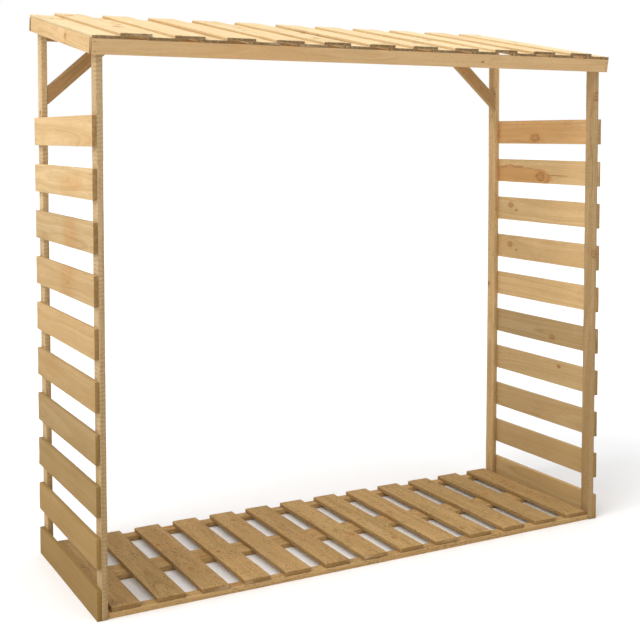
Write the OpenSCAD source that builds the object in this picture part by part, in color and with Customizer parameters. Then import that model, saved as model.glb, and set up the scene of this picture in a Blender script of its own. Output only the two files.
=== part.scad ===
// Lean-to log store: two slatted sides on four posts, a slatted floor on three bearers,
// and a sloping board-on-board roof inside a fascia frame. Softwood throughout.
// Millimetres, +Z up. The origin is on the ground, under the middle of the whole store.

/* [Frame] */
// Width over the outer faces of the posts
frame_w = 1858; // [1400:1:2400]
// Depth over the front and rear faces of the posts
frame_d = 627; // [450:1:900]
// Thickness of a post, across the store
post_t = 19; // [16:1:40]
// Depth of a post, front to back
post_d = 45; // [35:1:70]

/* [Sides] */
// Height of one slat
slat_w = 90; // [60:1:120]
// Thickness of a slat
slat_t = 14; // [10:1:20]
// Rise from one slat to the next
slat_pitch = 152.5; // [125:0.5:156]

/* [Floor] */
// Height of the bearers under the floor
bearer_h = 18; // [15:1:45]
// Width of the front and rear bearers
bearer_w = 38; // [30:1:60]
// Width of the middle bearer
middle_bearer_w = 90; // [40:1:120]
// How far the floor stands in from the front and rear faces of the posts
floor_inset = 4; // [0:1:20]
// Number of floor boards
floor_count = 13; // [9:1:13]
// Width of a floor board
floor_board_w = 88; // [60:1:100]
// Thickness of a floor board
floor_board_t = 14; // [10:1:22]
// Gap between a side and the floor board next to it
floor_end_gap = 12.2; // [5:0.1:15]

/* [Roof] */
// Slope of the roof, rising to the back
roof_slope = 10; // [5:0.1:15]
// Height of the fascia's lower edge where it meets the front posts
eaves_z = 1634; // [1600:1:1900]
// Depth of the fascia boards
fascia_h = 45; // [35:1:70]
// Thickness of the fascia boards
fascia_t = 20; // [15:1:25]
// Number of boards in the lower layer; the upper layer has one fewer
roof_count = 12; // [8:1:13]
// Width of a roof board
roof_board_w = 96; // [90:1:105]
// Thickness of a roof board
roof_board_t = 9; // [8:1:15]

/* [Bracing] */
// Width of the corner braces
brace_w = 45; // [35:1:60]
// Thickness of the braces and of the rail above them
brace_t = 19; // [15:1:30]
// Slope of the braces above level
brace_angle = 41; // [35:1:50]
// Height at which a brace's lower edge meets its post
brace_foot_z = 1505; // [1480:1:1560]
// Depth of the rail that joins the rear posts
rail_h = 70; // [35:1:100]

/* [Hidden] */
// Number of slats on each side, each one a node in the list below
slat_count = 10;
slope_sin = sin(roof_slope);
slope_cos = cos(roof_slope);
slope_tan = tan(roof_slope);
// Inside length of the fascia frame, along the slope
fascia_run = (frame_d + fascia_h * slope_sin) / slope_cos;
roof_run = fascia_run + 2 * fascia_t;
roof_w = frame_w + 2 * fascia_t;
roof_pitch = (roof_w - roof_board_w) / (roof_count - 1);
// Front and rear limits of the whole store, from the front face of the posts
front_y = -fascia_t * slope_cos - (fascia_h + 2 * roof_board_t) * slope_sin;
rear_y = (fascia_run + fascia_t) * slope_cos;
bay_w = frame_w - 2 * post_t;
floor_pitch = (bay_w - 2 * floor_end_gap - floor_board_w) / (floor_count - 1);
rail_y = frame_d - post_d;
rail_top_z = board_underside_z(rail_y);
brace_rise = rail_top_z - rail_h - brace_foot_z;
brace_cut = brace_w / cos(brace_angle);
brace_run = brace_rise / tan(brace_angle);
brace_top_run = (brace_rise - brace_cut) / tan(brace_angle);

treated_softwood = [0.80, 0.65, 0.45];
sawn_softwood = [0.74, 0.59, 0.40];
roof_softwood = [0.90, 0.78, 0.58];
floor_softwood = [0.66, 0.53, 0.36];

// Height of the underside of the roof boards at a distance y behind the posts' front face
function board_underside_z(y) = eaves_z + fascia_h / slope_cos + y * slope_tan;

// Moves a piece from the frame's front left corner to the store's own origin
module in_store() {
    translate([-frame_w / 2, -(front_y + rear_y) / 2, 0]) children();
}

// Lays a piece on the slope: its Y runs up the roof, its Z stands square off the fascia's lower edge
module on_slope() {
    in_store() translate([0, 0, eaves_z]) rotate([roof_slope, 0, 0]) children();
}

// A post, cut at the top to the slope of the roof boards that it carries
module post(x, y) {
    color(treated_softwood) in_store()
        translate([x, 0, 0]) rotate([90, 0, 90]) linear_extrude(height = post_t)
            polygon([
                [y, 0],
                [y + post_d, 0],
                [y + post_d, board_underside_z(y + post_d)],
                [y, board_underside_z(y)]
            ]);
}

// A side slat, nailed to the outer faces of two posts; the lowest one stands on the ground
module slat(x, number) {
    color(treated_softwood) in_store()
        translate([x, 0, (number - 1) * slat_pitch]) cube([slat_t, frame_d, slat_w]);
}

// A bearer, flat on the ground between the two sides
module bearer(y, width) {
    color(floor_softwood) in_store()
        translate([post_t, y, 0]) cube([bay_w, width, bearer_h]);
}

// The floor boards run front to back, across all three bearers
module floor_boards() {
    first_x = post_t + floor_end_gap;
    color(floor_softwood) in_store()
        for (i = [0 : floor_count - 1])
            translate([first_x + i * floor_pitch, floor_inset, bearer_h])
                cube([floor_board_w, frame_d - 2 * floor_inset, floor_board_t]);
}

// The front and rear fascias run past the ends of the side fascias
module cross_fascia(y) {
    color(treated_softwood) on_slope()
        translate([-fascia_t, y, 0]) cube([roof_w, fascia_t, fascia_h]);
}

module side_fascia(x) {
    color(treated_softwood) on_slope()
        translate([x, 0, 0]) cube([fascia_t, fascia_run, fascia_h]);
}

// The rail joins the rear posts just under the roof boards, and takes the tops of the braces
module rear_rail() {
    color(sawn_softwood) in_store()
        translate([post_t, rail_y, rail_top_z - rail_h]) cube([bay_w, brace_t, rail_h]);
}

// A left brace, from the post's inner face at x = 0 up to the underside of the rail
module brace() {
    color(sawn_softwood)
        translate([0, rail_y + brace_t, brace_foot_z]) rotate([90, 0, 0])
            linear_extrude(height = brace_t)
                polygon([
                    [0, 0],
                    [brace_run, brace_rise],
                    [brace_top_run, brace_rise],
                    [0, brace_cut]
                ]);
}

// One layer of roof boards, a row of count boards that starts at x and lies z above the fascia
module roof_layer(x, z, count) {
    color(roof_softwood) on_slope()
        for (i = [0 : count - 1])
            translate([x + i * roof_pitch, -fascia_t, fascia_h + z])
                cube([roof_board_w, roof_run, roof_board_t]);
}

post(0, 0);  // front_left_post
post(0, frame_d - post_d);  // rear_left_post
post(frame_w - post_t, 0);  // front_right_post
post(frame_w - post_t, frame_d - post_d);  // rear_right_post

for (number = [1 : slat_count]) {
    digits = number < 10 ? str("0", number) : str(number);
    slat(-slat_t, number);
    slat(frame_w, number);
}

bearer(floor_inset, bearer_w);  // front_bearer
bearer((frame_d - middle_bearer_w) / 2, middle_bearer_w);  // middle_bearer
bearer(frame_d - floor_inset - bearer_w, bearer_w);  // rear_bearer
floor_boards();

cross_fascia(-fascia_t);  // front_fascia
cross_fascia(fascia_run);  // rear_fascia
side_fascia(-fascia_t);  // left_fascia
side_fascia(frame_w);  // right_fascia

rear_rail();
in_store() translate([post_t, 0, 0]) brace();  // left_brace
in_store() translate([frame_w - post_t, 0, 0]) mirror([1, 0, 0]) brace();  // right_brace

roof_layer(-fascia_t, 0, roof_count);  // roof_lower_boards
roof_layer(-fascia_t + roof_pitch / 2, roof_board_t, roof_count - 1);  // roof_upper_boards
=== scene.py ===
import math
import bpy
import numpy as np
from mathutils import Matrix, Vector, noise


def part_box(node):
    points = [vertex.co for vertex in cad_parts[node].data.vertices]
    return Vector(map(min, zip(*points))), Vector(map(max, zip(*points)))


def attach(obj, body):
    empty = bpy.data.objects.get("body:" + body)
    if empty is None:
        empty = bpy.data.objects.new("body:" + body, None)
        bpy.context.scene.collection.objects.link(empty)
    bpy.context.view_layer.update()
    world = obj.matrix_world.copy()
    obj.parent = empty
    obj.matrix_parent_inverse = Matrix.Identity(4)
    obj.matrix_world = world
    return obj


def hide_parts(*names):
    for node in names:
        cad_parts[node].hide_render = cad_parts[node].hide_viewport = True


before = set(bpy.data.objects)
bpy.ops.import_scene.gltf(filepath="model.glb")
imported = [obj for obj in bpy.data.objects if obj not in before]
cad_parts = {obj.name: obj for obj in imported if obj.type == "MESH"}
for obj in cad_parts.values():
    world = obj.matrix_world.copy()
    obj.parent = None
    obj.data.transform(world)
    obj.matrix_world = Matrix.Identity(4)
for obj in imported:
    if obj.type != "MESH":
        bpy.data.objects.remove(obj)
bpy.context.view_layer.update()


# ---- Bearers -----------------------------------------------------------------------------
# Three flat battens lie on the ground between the sides and carry the floor. They are rough
# sawn softwood, pressure treated, and the floor boards are nailed down to them.

arris_round = 0.0013
arris_chip = 0.0016
sawn_roughness = 0.00035
most_cup = 0.0006
most_twist = 0.006
most_saw_slip = 0.0007
mesh_step_along = 0.013
mesh_step_across = 0.014
log_radius = 0.11
nail_radius = 0.0021
nail_sides = 10
far_away = 50.0
no_knot = (far_away, far_away, 0.01, 1.0)
no_heart = (far_away, far_away, 0.01, 0.01, 0.0)

# The sawn surface's noise starts from a set seed, so that each run makes the same boards.
noise_seed = 11
noise.seed_set(noise_seed)


def section_line(width, depth):
    """Points round a board's sawn section with its four arrises eased, each with 1 on an arris."""
    hold = arris_round * 2.2
    cells_across = max(3, round(width / mesh_step_across))
    across = [arris_round, *np.linspace(arris_round + hold, width - arris_round - hold, cells_across),
              width - arris_round]
    through = [arris_round, depth / 2, depth - arris_round]
    corner = arris_round * (1 - math.sqrt(0.5))
    line = [(b, 0.0, 0.0) for b in across] + [(width - corner, corner, 1.0)]
    line += [(width, c, 0.0) for c in through] + [(width - corner, depth - corner, 1.0)]
    line += [(b, depth, 0.0) for b in reversed(across)] + [(corner, depth - corner, 1.0)]
    line += [(0.0, c, 0.0) for c in reversed(through)] + [(corner, corner, 1.0)]
    return line


def sawn_board(start, along, across, size, seed, knots=(), heart=None, nails=(), foot=None, head=None,
               tone_and_painted_light=0.0, warmth=0.0, bow=0.0012, edge_shade=0.0):
    """One board as arrays. It runs from start by size[0] along the grain, size[1] across it and size[2]
    through. A knot is its place along and across, its radius and how far it is drawn out along the
    grain; heart is a patch of heartwood: its place, its reach along and across, and how deep its
    colour is. Nails go in at places on the far face. foot and head say how much farther along each
    end is cut, from the place across the board. The last argument darkens the two narrow faces with
    painted shade, as along the joints and gaps between boards."""
    length, width, depth = size
    start, along, across = Vector(start), Vector(along).normalized(), Vector(across).normalized()
    through = along.cross(across)
    draw = np.random.default_rng(seed)
    offset = draw.uniform(-40, 40)
    bend = bow * draw.uniform(-1, 1)
    cup = most_cup * draw.uniform(-1, 1)
    turn = most_twist * draw.uniform(-1, 1)
    pith = (width * draw.uniform(-0.1, 1.1), -draw.uniform(0.15, 0.6) * log_radius)
    saw_slips = draw.uniform(-most_saw_slip, most_saw_slip, 2)

    def place(a, b, c):
        """Where a point of the straight board lies on the bowed, cupped and rough one."""
        share = a / length
        arch = 4 * share * (1 - share)
        lean = turn * (share - 0.5)
        rough = noise.noise_vector((a * 9 + offset, b * 34, c * 34)) * sawn_roughness
        bb = b + rough.x - lean * (c - depth / 2) + bend * 0.5 * arch
        cc = c + rough.y + lean * (b - width / 2) + bend * arch + cup * (1 - (2 * b / width - 1) ** 2)
        return start + along * a + across * bb + through * cc

    line = section_line(width, depth)
    points = len(line)
    steps = max(4, round(length / mesh_step_along))
    shares = [0.0, *np.linspace(arris_round / length, 1 - arris_round / length, steps), 1.0]
    places, local, arris = [], [], []
    for k, share in enumerate(shares):
        sawn_end = k in (0, len(shares) - 1)
        for b, c, on_arris in line:
            if sawn_end:
                b = min(max(b, arris_round), width - arris_round)
                c = min(max(c, arris_round), depth - arris_round)
            low = saw_slips[0] + (foot(b) if foot else 0.0)
            high = length + saw_slips[1] + (head(b) if head else 0.0)
            a = low + (high - low) * share
            chip = noise.noise((a * 60 + offset, b * 80, c * 80)) - 0.15
            inward = on_arris * max(0.0, chip) * arris_chip
            b += inward if b < width / 2 else -inward
            c += inward if c < depth / 2 else -inward
            places.append(place(a, b, c))
            local.append((a, b, c))
            arris.append(on_arris)
    rows = len(shares)
    faces = [(k * points + j, k * points + (j + 1) % points, (k + 1) * points + (j + 1) % points,
              (k + 1) * points + j) for k in range(rows - 1) for j in range(points)]
    faces += [tuple(reversed(range(points))), tuple(range((rows - 1) * points, rows * points))]
    narrow = [min(line[j][0], line[(j + 1) % points][0]) > width - arris_round
              or max(line[j][0], line[(j + 1) % points][0]) < arris_round for j in range(points)]
    # Narrow faces take the end grain's dark colour as painted shade along the joints and gaps between boards.
    sides = [edge_shade if side else 0.0 for side in narrow]
    end_grain_and_edge_shade = [0.8] * points + sides * (rows - 3) + [0.8] * points + [1.0, 1.0]
    steel = [0] * len(faces)
    for nail_a, nail_b in nails:
        nail_a, nail_b = nail_a + draw.uniform(-0.002, 0.002), nail_b + draw.uniform(-0.004, 0.004)
        first = len(places)
        for radius, lift in ((nail_radius, -0.0005), (nail_radius, 0.0003), (nail_radius * 0.7, 0.0006)):
            for k in range(nail_sides):
                angle = math.tau * k / nail_sides
                spot = (nail_a + radius * math.cos(angle), nail_b + radius * math.sin(angle), depth)
                places.append(place(*spot) + through * lift)
                local.append(spot)
                arris.append(0.0)
        for ring in (0, nail_sides):
            for k in range(nail_sides):
                n = (k + 1) % nail_sides
                faces.append((first + ring + k, first + ring + n, first + ring + nail_sides + n,
                              first + ring + nail_sides + k))
        faces.append(tuple(range(first + 2 * nail_sides, first + 3 * nail_sides)))
        end_grain_and_edge_shade += [0.0] * (2 * nail_sides + 1)
        steel += [1] * (2 * nail_sides + 1)
    a, b, c = np.array(local).T
    same = np.ones(len(local))
    marks = {"grain": (b - pith[0], c - pith[1], a + offset)}
    spots = [*knots, no_knot, no_knot, no_knot][:3]
    for label, (knot_a, knot_b, radius, drawn) in zip(("knot_1", "knot_2", "knot_3"), spots):
        marks[label] = ((a - knot_a) / (radius * drawn), (b - knot_b) / radius, same * radius)
    heart_a, heart_b, reach_a, reach_b, depth_of_colour = heart or no_heart
    marks["heart"] = ((a - heart_a) / reach_a, (b - heart_b) / reach_b, same * depth_of_colour)
    marks["board"] = (same * (tone_and_painted_light + draw.uniform(-0.6, 0.6)), same * (warmth + draw.uniform(-0.8, 0.8)),
                      np.array(arris))
    marks = {label: np.stack(values, axis=1) for label, values in marks.items()}
    return np.array(places), faces, marks, end_grain_and_edge_shade, steel


def wooden_piece(name, boards, wood):
    """Joins sawn boards in one piece that stands for the CAD node of that name."""
    mesh = bpy.data.meshes.new(name + "_boards")
    starts = np.cumsum([0] + [len(board[0]) for board in boards])
    faces = [tuple(int(corner + first) for corner in face)
             for first, board in zip(starts, boards) for face in board[1]]
    places = np.concatenate([board[0] for board in boards])
    places[:, 2] = np.maximum(places[:, 2], 0.0)
    mesh.from_pydata(places.tolist(), [], faces)
    for label in boards[0][2]:
        values = np.concatenate([board[2][label] for board in boards]).astype(np.float32)
        mesh.attributes.new(label, "FLOAT_VECTOR", "POINT").data.foreach_set("vector", values.ravel())
    cut = np.concatenate([board[3] for board in boards]).astype(np.float32)
    mesh.attributes.new("end_grain_and_edge_shade", "FLOAT", "FACE").data.foreach_set("value", cut)
    mesh.materials.append(wood)
    mesh.materials.append(nail_steel)
    steel = np.concatenate([board[4] for board in boards]).astype(np.int32)
    mesh.polygons.foreach_set("material_index", steel)
    mesh.shade_smooth()
    mesh.set_sharp_from_angle(angle=math.radians(50))
    piece = bpy.data.objects.new(name + "_boards", mesh)
    bpy.context.scene.collection.objects.link(piece)
    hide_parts(name)
    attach(piece, "root")


def softwood(name, pale, deep, late, saw_pitch=0.004, saw_depth=0.5, damp_and_shade=0.0, dirt=0.12,
             end_grain_and_edge_shade_colour=(0.25, 0.135, 0.042), levels=(0.74, 1.14)):
    """Sawn, treated softwood: growth bands round each board's own pith, streaks, knots that turn the
    grain aside, heartwood, dark end grain, narrow faces darkened as painted shade, saw marks, a darker
    olive tint near the ground that is partly damp and partly painted shade, and each board's level of
    brightness, which on some pieces is painted light or shade."""
    material = bpy.data.materials.new(name)
    material.use_nodes = True
    nodes, links = material.node_tree.nodes, material.node_tree.links
    nodes.clear()

    def node(kind, **settings):
        made = nodes.new(kind)
        for key, value in settings.items():
            setattr(made, key, value)
        return made

    def put(socket, value):
        if isinstance(value, bpy.types.NodeSocket):
            links.new(value, socket)
        elif socket.type == "RGBA":
            socket.default_value = (*value, 1)
        else:
            socket.default_value = value

    def calc(operation, *values):
        made = node("ShaderNodeMath", operation=operation)
        for socket, value in zip(made.inputs, values):
            put(socket, value)
        return made.outputs[0]

    def times(*values):
        product = values[0]
        for value in values[1:]:
            product = calc("MULTIPLY", product, value)
        return product

    def plus(*values):
        total = values[0]
        for value in values[1:]:
            total = calc("ADD", total, value)
        return total

    def fade(value, low, high, start=0.0, stop=1.0):
        made = node("ShaderNodeMapRange", interpolation_type="SMOOTHSTEP")
        for socket, setting in zip(made.inputs, (value, low, high, start, stop)):
            put(socket, setting)
        return made.outputs[0]

    def tint(share, first, second, blend="MIX"):
        made = node("ShaderNodeMix", data_type="RGBA", blend_type=blend)
        sockets = (made.inputs["Factor"], made.inputs[6], made.inputs[7])
        for socket, value in zip(sockets, (share, first, second)):
            put(socket, value)
        return made.outputs[2]

    def mottle(stretch, detail=2.0):
        spread = node("ShaderNodeVectorMath", operation="MULTIPLY")
        put(spread.inputs[0], grain)
        put(spread.inputs[1], stretch)
        made = node("ShaderNodeTexNoise")
        put(made.inputs["Vector"], spread.outputs[0])
        put(made.inputs["Scale"], 1.0)
        put(made.inputs["Detail"], detail)
        return made.outputs["Fac"]

    def growth(value, detail):
        made = node("ShaderNodeTexNoise", noise_dimensions="1D")
        put(made.inputs["W"], value)
        put(made.inputs["Scale"], 1.0)
        put(made.inputs["Detail"], detail)
        return made.outputs["Fac"]

    def mark(label):
        apart = node("ShaderNodeSeparateXYZ")
        put(apart.inputs[0], node("ShaderNodeAttribute", attribute_name=label).outputs["Vector"])
        return apart.outputs

    grain = node("ShaderNodeAttribute", attribute_name="grain").outputs["Vector"]
    across, depth, along = mark("grain")
    shade, warmth, arris = mark("board")
    ragged = plus(mottle((42, 42, 42), 3.0), -0.5)
    broken = fade(mottle((150, 150, 150)), 0.32, 0.55, 0.4, 1.0)
    patch = mottle((8, 8, 4))

    core, rim, halo, dead, pull = 0.0, 0.0, 0.0, 0.0, 0.0
    for label in ("knot_1", "knot_2", "knot_3"):
        knot_a, knot_b, radius = mark(label)
        near = plus(calc("SQRT", plus(times(knot_a, knot_a), times(knot_b, knot_b))), times(ragged, 0.95))
        core = calc("MAXIMUM", core, fade(near, 1.15, 0.7))
        rim = calc("MAXIMUM", rim, times(fade(near, 0.75, 0.98), fade(near, 1.25, 1.02), broken))
        halo = calc("MAXIMUM", halo, fade(near, 2.9, 0.9))
        dead = calc("MAXIMUM", dead, times(fade(near, 1.1, 0.9), fade(radius, 0.0085, 0.006)))
        heart_ring = times(fade(near, 0.25, 0.4), fade(near, 0.6, 0.45))
        rim = calc("MAXIMUM", rim, times(heart_ring, 0.5))
        spread = times(plus(times(knot_a, knot_a, 0.25), times(knot_b, knot_b)), -0.25)
        pull = plus(pull, times(knot_b, radius, calc("EXPONENT", spread), 0.88))

    bent = calc("SUBTRACT", across, pull)
    ring = calc("SQRT", plus(times(bent, bent), times(depth, depth)))
    ring = plus(ring, times(plus(mottle((5, 5, 2.4), 1.0), -0.5), 0.03), times(along, 0.014))
    band = growth(times(ring, 75), 1.0)
    line = growth(times(ring, 330), 1.0)
    streak = mottle((95, 95, 2.6), 3.0)
    fibre = mottle((900, 900, 26))
    colour = tint(fade(band, 0.36, 0.66, 0.0, 0.75), pale, deep)
    colour = tint(fade(streak, 0.35, 0.72, 0.0, 0.5), colour, deep)
    colour = tint(times(fade(line, 0.52, 0.72), fade(patch, 0.35, 0.7, 0.12, 0.5)), colour, late)

    heart_a, heart_b, heart_colour = mark("heart")
    edged = fade(heart_colour, 0.5, 0.7)
    wander = times(plus(mottle((17, 17, 11)), -0.5), fade(edged, 0.0, 1.0, 1.1, 0.3))
    glow = plus(calc("SQRT", plus(times(heart_a, heart_a), times(heart_b, heart_b))), times(ragged, 0.2),
                wander, times(plus(band, -0.5), 0.5))
    soft, sharp = fade(glow, 1.5, 0.35), fade(glow, 1.1, 0.9)
    within = plus(soft, times(edged, plus(sharp, times(soft, -1.0))))
    heartwood_red = (0.87, 0.60, 0.36)
    colour = tint(times(heart_colour, within), colour, heartwood_red, "MULTIPLY")
    heart_line = times(fade(glow, 1.14, 1.05), fade(glow, 0.94, 1.02), edged)
    heartwood_border = (0.72, 0.50, 0.34)
    colour = tint(heart_line, colour, heartwood_border, "MULTIPLY")
    honey = (0.72, 0.41, 0.17)
    colour = tint(fade(warmth, -1.0, 1.6, 0.0, 0.34), colour, honey)
    olive = (0.40, 0.285, 0.115)
    colour = tint(fade(patch, 0.42, 0.78, 0.0, 0.24), colour, olive)
    colour = tint(fade(fibre, 0.4, 0.7, 0.0, 0.16), colour, late)
    knot_halo = (0.56, 0.28, 0.085)
    colour = tint(times(halo, fade(streak, 0.3, 0.65, 0.12, 0.55)), colour, knot_halo)
    knot_wood = (0.43, 0.20, 0.075)
    colour = tint(times(core, 0.34), colour, knot_wood)
    dead_knot_wood = (0.20, 0.10, 0.045)
    colour = tint(times(dead, 0.55), colour, dead_knot_wood)
    bark_ring = (0.17, 0.075, 0.028)
    colour = tint(times(rim, 0.68), colour, bark_ring)

    # Dark end grain, and painted shade on the narrow faces of boards, darkened the same way.
    end_grain_and_edge_shade = node("ShaderNodeAttribute", attribute_name="end_grain_and_edge_shade").outputs["Fac"]
    colour = tint(times(end_grain_and_edge_shade, fade(mottle((120, 120, 60)), 0.3, 0.65, 0.76, 0.92)), colour, end_grain_and_edge_shade_colour)
    worn_arris = (0.90, 0.72, 0.45)
    colour = tint(times(arris, fade(patch, 0.35, 0.65, 0.08, 0.5)), colour, worn_arris)

    tooth = plus(times(along, math.tau / saw_pitch), times(mottle((24, 24, 9)), 16.0))
    saw = times(calc("SINE", tooth), fade(mottle((9, 9, 6), 2.0), 0.3, 0.52, 0.25, 1.0))
    saw_furrow = (0.22, 0.125, 0.045)
    colour = tint(fade(saw, 0.1, 1.0, 0.0, 0.2 * saw_depth), colour, saw_furrow)

    grime = fade(mottle((210, 210, 70), 4.0), 0.46, 0.66)
    blotch = fade(mottle((30, 30, 12), 3.0), 0.4, 0.65, 0.35, 1.0)
    ingrained_dirt = (0.155, 0.095, 0.036)
    colour = tint(times(grime, blotch, dirt), colour, ingrained_dirt)

    # Darker olive colour towards the ground: partly damp wood and partly painted shade, deepest low down.
    if damp_and_shade:
        world_place = node("ShaderNodeSeparateXYZ")
        put(world_place.inputs[0], node("ShaderNodeNewGeometry").outputs["Position"])
        rise = plus(world_place.outputs["Z"], times(plus(patch, -0.5), 0.4))
        damp_and_shade_colour = (0.245, 0.142, 0.037)
        colour = tint(fade(rise, 1.5, -0.15, 0.0, damp_and_shade), colour, damp_and_shade_colour)
    # Each board's brightness level. On some pieces it is raised or lowered as painted light or shade.
    level = fade(shade, -2.0, 2.0, *levels)
    grey = node("ShaderNodeCombineColor")
    for socket in grey.inputs:
        put(socket, level)
    colour = tint(1.0, colour, grey.outputs[0], "MULTIPLY")

    height = plus(times(fibre, 0.45), times(saw, 0.35 * saw_depth), times(line, -0.3), times(core, 0.5),
                  times(rim, -0.5))
    relief_strength = 0.55
    relief_depth = 0.0007
    bump = node("ShaderNodeBump")
    put(bump.inputs["Strength"], relief_strength)
    put(bump.inputs["Distance"], relief_depth)
    put(bump.inputs["Height"], height)
    shader = node("ShaderNodeBsdfPrincipled")
    put(shader.inputs["Base Color"], colour)
    put(shader.inputs["Roughness"], fade(streak, 0.2, 0.8, 0.72, 0.9))
    put(shader.inputs["Specular IOR Level"], 0.16)
    put(shader.inputs["Normal"], bump.outputs["Normal"])
    put(node("ShaderNodeOutputMaterial").inputs["Surface"], shader.outputs[0])
    return material


nail_steel = bpy.data.materials.new("nail_steel")
nail_steel.use_nodes = True
steel_nodes, steel_links = nail_steel.node_tree.nodes, nail_steel.node_tree.links
steel_shader = steel_nodes["Principled BSDF"]
steel_shader.inputs["Metallic"].default_value = 0.6
zinc_spangle = steel_nodes.new("ShaderNodeTexNoise")
zinc_spangle.inputs["Scale"].default_value = 700
steel_links.new(steel_nodes.new("ShaderNodeTexCoord").outputs["Object"], zinc_spangle.inputs["Vector"])
zinc_colour = steel_nodes.new("ShaderNodeValToRGB")
zinc_colour.color_ramp.elements[0].color = (0.15, 0.10, 0.06, 1)
zinc_colour.color_ramp.elements[1].color = (0.34, 0.27, 0.19, 1)
steel_links.new(zinc_spangle.outputs["Fac"], zinc_colour.inputs[0])
steel_links.new(zinc_colour.outputs[0], steel_shader.inputs["Base Color"])
zinc_dulling = steel_nodes.new("ShaderNodeMapRange")
zinc_dulling.inputs["To Min"].default_value = 0.35
zinc_dulling.inputs["To Max"].default_value = 0.7
steel_links.new(zinc_spangle.outputs["Fac"], zinc_dulling.inputs["Value"])
steel_links.new(zinc_dulling.outputs[0], steel_shader.inputs["Roughness"])

# The floor wood's dark colour is partly weathering and partly painted shade, as of a load of logs lying on
# it.
floor_wood = softwood("floor_softwood", (0.53, 0.345, 0.145), (0.40, 0.245, 0.092), (0.22, 0.125, 0.045),
                      dirt=0.6, levels=(0.84, 1.08))
bearer_knots = ((0.42, 0.02, 0.009, 1.3), (1.31, 0.025, 0.007, 1.2))
for number, node_name in enumerate(("front_bearer", "middle_bearer", "rear_bearer")):
    low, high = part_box(node_name)
    size = (high.x - low.x, high.y - low.y, high.z - low.z)
    batten = sawn_board(low, (1, 0, 0), (0, 1, 0), size, 10 + number, knots=bearer_knots)
    wooden_piece(node_name, [batten], floor_wood)


# ---- Floor boards ------------------------------------------------------------------------
# Thirteen sawn boards run front to back over the bearers, with open gaps so that the logs
# are aired from below. Each is nailed twice to every bearer.

floor_count = 13
floor_board_width = 0.088
nail_margin = 0.020
largest_knot = 0.010


def scattered_knots(seed, length, width, most, largest):
    """A few knots at places drawn from a seed, kept in from the board's edges."""
    draw = np.random.default_rng(seed)
    return [(draw.uniform(0.06, 0.94) * length, draw.uniform(0.15, 0.85) * width,
             draw.uniform(0.4, 1.0) * largest, draw.uniform(1.0, 1.7))
            for _ in range(draw.integers(0, most + 1))]


low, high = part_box("floor_boards")
floor_pitch = (high.x - low.x - floor_board_width) / (floor_count - 1)
bearer_lines = [(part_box(name)[0].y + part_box(name)[1].y) / 2 - low.y
                for name in ("front_bearer", "middle_bearer", "rear_bearer")]
floor_nails = [(a, b) for a in bearer_lines for b in (nail_margin, floor_board_width - nail_margin)]
size = (high.y - low.y, floor_board_width, high.z - low.z)
boards = []
for number in range(floor_count):
    start = (low.x + number * floor_pitch + floor_board_width, low.y, low.z)
    # Each floor board's narrow faces get painted shade in the gaps between boards.
    boards.append(sawn_board(start, (0, 1, 0), (-1, 0, 0), size, 320 + number, nails=floor_nails,
                             knots=scattered_knots(300 + number, size[0], size[1], 2, largest_knot),
                             edge_shade=0.6))
wooden_piece("floor_boards", boards, floor_wood)


# ---- Posts -------------------------------------------------------------------------------
# Four rough-sawn posts stand with their narrow faces to the front, two to a side. Their tops
# are cut to the slope of the roof boards. The band saw's marks run across them.

roof_slope = math.radians(10)
# The post wood darkens towards the ground like the slats, partly damp and partly painted shade.
post_woods = {
    "left": softwood("left_post_softwood", (0.70, 0.52, 0.30), (0.58, 0.41, 0.215), (0.35, 0.21, 0.09),
                     saw_pitch=0.0125, saw_depth=1.6, damp_and_shade=0.4, dirt=0.3),
    "right": softwood("right_post_softwood", (0.66, 0.455, 0.235), (0.53, 0.345, 0.16), (0.32, 0.185, 0.075),
                      saw_pitch=0.0125, saw_depth=0.45, damp_and_shade=0.4, dirt=0.3),
}
# How much the posts' front and rear faces are darkened: painted shade.
post_edge_shade = {"left": 0.26, "right": 0.0}
# Each post: how light its wood is, and its knots.
posts = {
    "front_left_post": (-0.5, ((0.62, 0.030, 0.008, 1.2), (1.30, 0.018, 0.006, 1.2))),
    "rear_left_post": (0.6, ((0.35, 0.020, 0.007, 1.2), (0.98, 0.028, 0.009, 1.4), (1.48, 0.02, 0.006, 1.0))),
    "front_right_post": (-0.9, ((1.545, -0.004, 0.009, 1.6), (0.976, -0.004, 0.009, 1.6))),
    "rear_right_post": (1.5, ((0.80, 0.036, 0.007, 1.2),)),
}
for number, (node_name, (tone_and_painted_light, knots)) in enumerate(posts.items()):
    low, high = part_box(node_name)
    rise = (high.y - low.y) * math.tan(roof_slope)
    size = (high.z - low.z - rise, high.y - low.y, high.x - low.x)
    side = node_name.split("_")[1]
    post = sawn_board((high.x, low.y, low.z), (0, 0, 1), (0, 1, 0), size, 40 + number, knots=knots,
                      tone_and_painted_light=tone_and_painted_light, warmth=-0.6, head=lambda b: b * math.tan(roof_slope), bow=0.002,
                      edge_shade=post_edge_shade[side])
    wooden_piece(node_name, [post], post_woods[side])


# ---- Side slats --------------------------------------------------------------------------
# Ten sawn boards a side are nailed level across the outer faces of the posts, ends flush with
# the posts. The lowest stands on the ground. The wood is darker and olive low down, partly damp and partly
# painted shade.

slat_woods = {side: softwood(f"{side}_slat_softwood", (0.76, 0.55, 0.295), (0.635, 0.43, 0.205),
                             (0.43, 0.25, 0.095), damp_and_shade=damp_and_shade_amount)
              for side, damp_and_shade_amount in (("left", 0.94), ("right", 0.5))}
slat_count = 10
post_depth = 0.045
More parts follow.
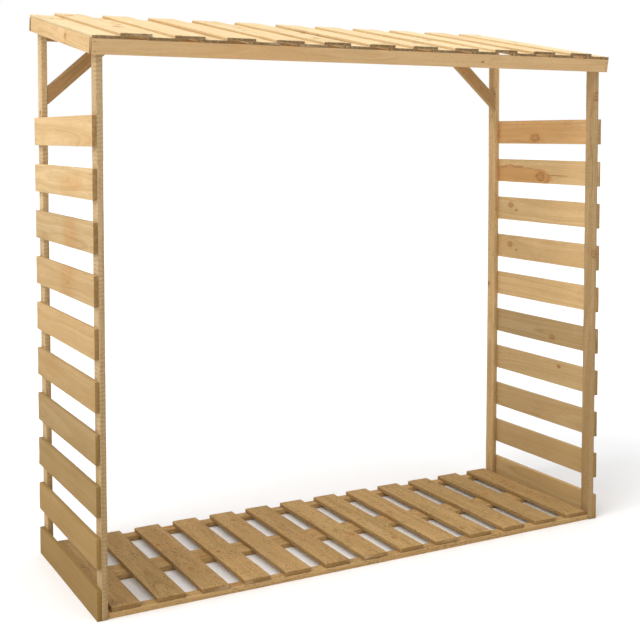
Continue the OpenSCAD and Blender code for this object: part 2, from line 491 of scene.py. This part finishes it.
# What sets a slat apart: tone, warmth, knots and heartwood. A long, thin knot is a drying check.
# Most right slats are made lighter as painted light, against the roof's shade on their inner faces.
slat_features = {
    "left_slat_10": dict(tone_and_painted_light=0.4),
    "left_slat_09": dict(tone_and_painted_light=-0.3, heart=(0.42, 0.040, 0.13, 0.030, 0.48), warmth=-0.3),
    "left_slat_08": dict(tone_and_painted_light=-0.4, heart=(0.39, 0.045, 0.07, 0.11, 0.5), warmth=0.2),
    "left_slat_07": dict(heart=(0.36, 0.045, 0.07, 0.11, 0.5), warmth=0.8),
    "left_slat_06": dict(warmth=1.1),
    "left_slat_05": dict(warmth=0.8, heart=(0.15, 0.05, 0.10, 0.03, 0.3)),
    "left_slat_04": dict(tone_and_painted_light=-0.5),
    "left_slat_03": dict(warmth=-1.2),
    "right_slat_10": dict(tone_and_painted_light=1.2, knots=((0.354, 0.0225, 0.013, 1.9),), warmth=0.9,
                          heart=(0.48, 0.030, 0.36, 0.062, 0.55)),
    "right_slat_09": dict(tone_and_painted_light=2.0, knots=((0.321, 0.026, 0.015, 1.6), (0.215, 0.032, 0.0013, 38)),
                          warmth=0.1, heart=(0.50, 0.022, 0.23, 0.040, 0.64)),
    "right_slat_08": dict(knots=((0.499, 0.0595, 0.009, 1.3), (0.466, 0.0415, 0.0035, 1.8)), tone_and_painted_light=1.6),
    "right_slat_07": dict(knots=((0.503, 0.055, 0.009, 1.3), (0.464, 0.035, 0.0035, 1.2)), tone_and_painted_light=1.6),
    "right_slat_06": dict(tone_and_painted_light=1.4),
    "right_slat_05": dict(knots=((0.24, 0.025, 0.009, 1.4),), tone_and_painted_light=-0.9),
    "right_slat_04": dict(tone_and_painted_light=0.2, knots=((0.20, 0.070, 0.005, 1.6),)),
    "right_slat_03": dict(tone_and_painted_light=0.0),
    "right_slat_02": dict(tone_and_painted_light=0.6),
    "right_slat_01": dict(tone_and_painted_light=1.6),
}
for side in ("left", "right"):
    for number in range(1, slat_count + 1):
        node_name = f"{side}_slat_{number:02d}"
        low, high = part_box(node_name)
        size = (high.y - low.y, high.z - low.z, high.x - low.x)
        nails = [(a, b) for a in (post_depth / 2, size[0] - post_depth / 2)
                 for b in (nail_margin, size[1] - nail_margin)]
        if side == "left":
            start, along, seed = (high.x, high.y, low.z), (0, -1, 0), 100 + number
        else:
            start, along, seed = low, (0, 1, 0), 200 + number
        features = slat_features.get(node_name, {})
        board = sawn_board(start, along, (0, 0, 1), size, seed, nails=nails, **features)
        wooden_piece(node_name, [board], slat_woods[side])


# ---- Rail and corner braces --------------------------------------------------------------
# A rough batten joins the rear posts under the roof, and two short braces, cut at an angle,
# stiffen the corners below it.

brace_wood = softwood("brace_softwood", (0.48, 0.30, 0.14), (0.37, 0.215, 0.088), (0.21, 0.11, 0.042))
low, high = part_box("rear_rail")
size = (high.x - low.x, high.z - low.z, high.y - low.y)
# The rail's low tone is painted shade, as it stands in the shade under the roof.
rail = sawn_board((low.x, high.y, low.z), (1, 0, 0), (0, 0, 1), size, 70, tone_and_painted_light=-1.5,
                  knots=((0.5, 0.02, 0.008, 1.3), (1.2, 0.05, 0.009, 1.5)))
wooden_piece("rear_rail", [rail], brace_wood)

brace_angle = math.radians(41)
brace_width = 0.045
for number, (node_name, side, tone_and_painted_light) in enumerate((("left_brace", 1, -0.6), ("right_brace", -1, 0.7))):
    low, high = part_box(node_name)
    post_x = low.x if side > 0 else high.x
    along = (side * math.cos(brace_angle), 0, math.sin(brace_angle))
    across = (-side * math.sin(brace_angle), 0, math.cos(brace_angle))
    near_y = high.y if side > 0 else low.y
    size = ((high.z - low.z) / math.sin(brace_angle), brace_width, high.y - low.y)
    brace = sawn_board((post_x, near_y, low.z), along, across, size, 80 + number, tone_and_painted_light=tone_and_painted_light,
                       foot=lambda b: b * math.tan(brace_angle), head=lambda b: -b / math.tan(brace_angle))
    wooden_piece(node_name, [brace], brace_wood)


# ---- Roof frame --------------------------------------------------------------------------
# Four rough-sawn fascia boards on edge form a frame round the tops of the posts, square to the
# slope. The front and rear boards run past the ends of the side ones and are nailed to them.

fascia_wood = softwood("fascia_softwood", (0.73, 0.505, 0.265), (0.60, 0.39, 0.185), (0.40, 0.235, 0.09),
                       saw_pitch=0.006, saw_depth=0.35)
fascia_thickness = 0.020
fascia_height = 0.045
up_slope = Vector((0, math.cos(roof_slope), math.sin(roof_slope)))
off_slope = Vector((0, -math.sin(roof_slope), math.cos(roof_slope)))
low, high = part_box("front_fascia")
eaves = Vector((low.x, high.y, low.z + fascia_thickness * math.sin(roof_slope)))
roof_width = high.x - low.x
low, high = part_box("left_fascia")
fascia_run = (high.y - low.y - fascia_height * math.sin(roof_slope)) / math.cos(roof_slope)
end_nails = [(a, b) for a in (fascia_thickness / 2, roof_width - fascia_thickness / 2)
             for b in (0.25 * fascia_height, 0.75 * fascia_height)]
cross_size = (roof_width, fascia_height, fascia_thickness)
front = sawn_board(eaves, (1, 0, 0), off_slope, cross_size, 90, nails=end_nails, tone_and_painted_light=-0.7, warmth=1.3,
                   knots=((1.345, 0.02, 0.0028, 1.4),), heart=(0.53, 0.02, 0.24, 0.06, 0.25))
wooden_piece("front_fascia", [front], fascia_wood)
rear_top = eaves + up_slope * fascia_run + off_slope * fascia_height
rear = sawn_board(rear_top, (1, 0, 0), -off_slope, cross_size, 91, nails=end_nails,
                  knots=((0.42, 0.025, 0.007, 1.5), (1.1, 0.012, 0.006, 1.3)))
wooden_piece("rear_fascia", [rear], fascia_wood)
side_size = (fascia_run, fascia_height, fascia_thickness)
post_nails = [(0.030, 0.5 * fascia_height), (fascia_run - 0.035, 0.5 * fascia_height)]
left_top = eaves + Vector((fascia_thickness, 0, 0)) + off_slope * fascia_height
left = sawn_board(left_top, up_slope, -off_slope, side_size, 94, nails=post_nails, tone_and_painted_light=0.4,
                  knots=((0.24, 0.018, 0.008, 1.2),), heart=(0.24, 0.034, 0.014, 0.022, 0.4))
wooden_piece("left_fascia", [left], fascia_wood)
right = sawn_board(eaves + Vector((roof_width - fascia_thickness, 0, 0)), up_slope, off_slope, side_size, 95,
                   nails=post_nails, knots=((0.41, 0.022, 0.008, 1.4),))
wooden_piece("right_fascia", [right], fascia_wood)


# ---- Roof boards -------------------------------------------------------------------------
# Thin sawn boards run down the slope in two layers, nailed to the front and rear fascias. The
# upper boards cover the gaps between the lower ones, board on board.

roof_wood = softwood("roof_softwood", (0.87, 0.70, 0.43), (0.79, 0.60, 0.335), (0.50, 0.31, 0.125),
                     dirt=0.05, end_grain_and_edge_shade_colour=(0.12, 0.058, 0.017), levels=(0.98, 1.08))
roof_count = 12
roof_board_width = 0.096
roof_board_thickness = 0.009
roof_run = fascia_run + 2 * fascia_thickness
roof_pitch = (roof_width - roof_board_width) / (roof_count - 1)
size = (roof_run, roof_board_width, roof_board_thickness)
roof_nails = [(a, b) for a in (fascia_thickness / 2, roof_run - fascia_thickness / 2)
              for b in (nail_margin, roof_board_width - nail_margin)]
for layer, (node_name, count, first) in enumerate((("roof_lower_boards", roof_count, 0.0),
                                                   ("roof_upper_boards", roof_count - 1, roof_pitch / 2))):
    boards = []
    foot = eaves - up_slope * fascia_thickness + off_slope * (fascia_height + layer * roof_board_thickness)
    for number in range(count):
        seed = 500 + 50 * layer + number
        start = foot + Vector((first + number * roof_pitch + roof_board_width, 0, 0))
        # The roof boards' narrow faces get painted shade along their joints.
        boards.append(sawn_board(start, up_slope, (-1, 0, 0), size, seed + 200, nails=roof_nails, bow=0.0008,
                                 tone_and_painted_light=0.9, edge_shade=0.35,
                                 knots=scattered_knots(seed, size[0], size[1], 3, largest_knot)))
    wooden_piece(node_name, boards, roof_wood)


# ---- Studio ------------------------------------------------------------------------------
# A plain pale floor under a plain pale sky, with soft light, mostly from above and from the left.
# The camera stands in front of the store and to its left, at chest height.

floor_mesh = bpy.data.meshes.new("studio_floor")
reach = 60.0
floor_mesh.from_pydata([(-reach, -reach, 0), (reach, -reach, 0), (reach, reach, 0), (-reach, reach, 0)], [],
                       [(0, 1, 2, 3)])
floor = bpy.data.objects.new("studio_floor", floor_mesh)
bpy.context.scene.collection.objects.link(floor)
floor_paint = bpy.data.materials.new("studio_floor_paint")
floor_paint.use_nodes = True
floor_shader = floor_paint.node_tree.nodes["Principled BSDF"]
floor_shader.inputs["Base Color"].default_value = (0.93, 0.93, 0.93, 1)
floor_shader.inputs["Roughness"].default_value = 0.9
floor_shader.inputs["Specular IOR Level"].default_value = 0.1
floor_mesh.materials.append(floor_paint)

world = bpy.data.worlds.new("studio_sky")
bpy.context.scene.world = world
world.use_nodes = True
sky, sky_links = world.node_tree.nodes, world.node_tree.links
seen = sky["Background"]
seen.inputs["Color"].default_value = (1, 1, 1, 1)
seen.inputs["Strength"].default_value = 1.0
lit = sky.new("ShaderNodeBackground")
lit.inputs["Color"].default_value = (0.95, 0.97, 1.0, 1)
lit.inputs["Strength"].default_value = 0.55
path = sky.new("ShaderNodeLightPath")
choose = sky.new("ShaderNodeMixShader")
sky_links.new(path.outputs["Is Camera Ray"], choose.inputs[0])
sky_links.new(lit.outputs[0], choose.inputs[1])
sky_links.new(seen.outputs[0], choose.inputs[2])
sky_links.new(choose.outputs[0], sky["World Output"].inputs["Surface"])


def sun_light(name, strength, angle, toward, colour=(1, 1, 1)):
    lamp = bpy.data.lights.new(name, "SUN")
    lamp.energy = strength
    lamp.angle = math.radians(angle)
    lamp.color = colour
    holder = bpy.data.objects.new(name, lamp)
    holder.rotation_mode = "QUATERNION"
    holder.rotation_quaternion = Vector(toward).to_track_quat("-Z", "Y")
    bpy.context.scene.collection.objects.link(holder)


sun_light("key", 1.85, 45, (0.85, 0.2, -0.82), (1.0, 0.985, 0.96))
sun_light("top", 1.2, 90, (0.05, 0.1, -1.0))

camera = bpy.data.cameras.new("camera")
camera.sensor_fit = "VERTICAL"
camera.sensor_height = 36
camera.sensor_width = 28.5
camera.lens = 64.17
camera.shift_y = -0.1875
camera_place = bpy.data.objects.new("camera", camera)
camera_place.location = (-1.9165, -3.45, 1.4026)
yaw, pitch = math.radians(28.52), math.radians(3.21)
look = Vector((math.sin(yaw) * math.cos(pitch), math.cos(yaw) * math.cos(pitch), -math.sin(pitch)))
camera_place.rotation_mode = "QUATERNION"
camera_place.rotation_quaternion = look.to_track_quat("-Z", "Y")
bpy.context.scene.collection.objects.link(camera_place)
bpy.context.scene.camera = camera_place
bpy.context.scene.view_settings.view_transform = "Standard"
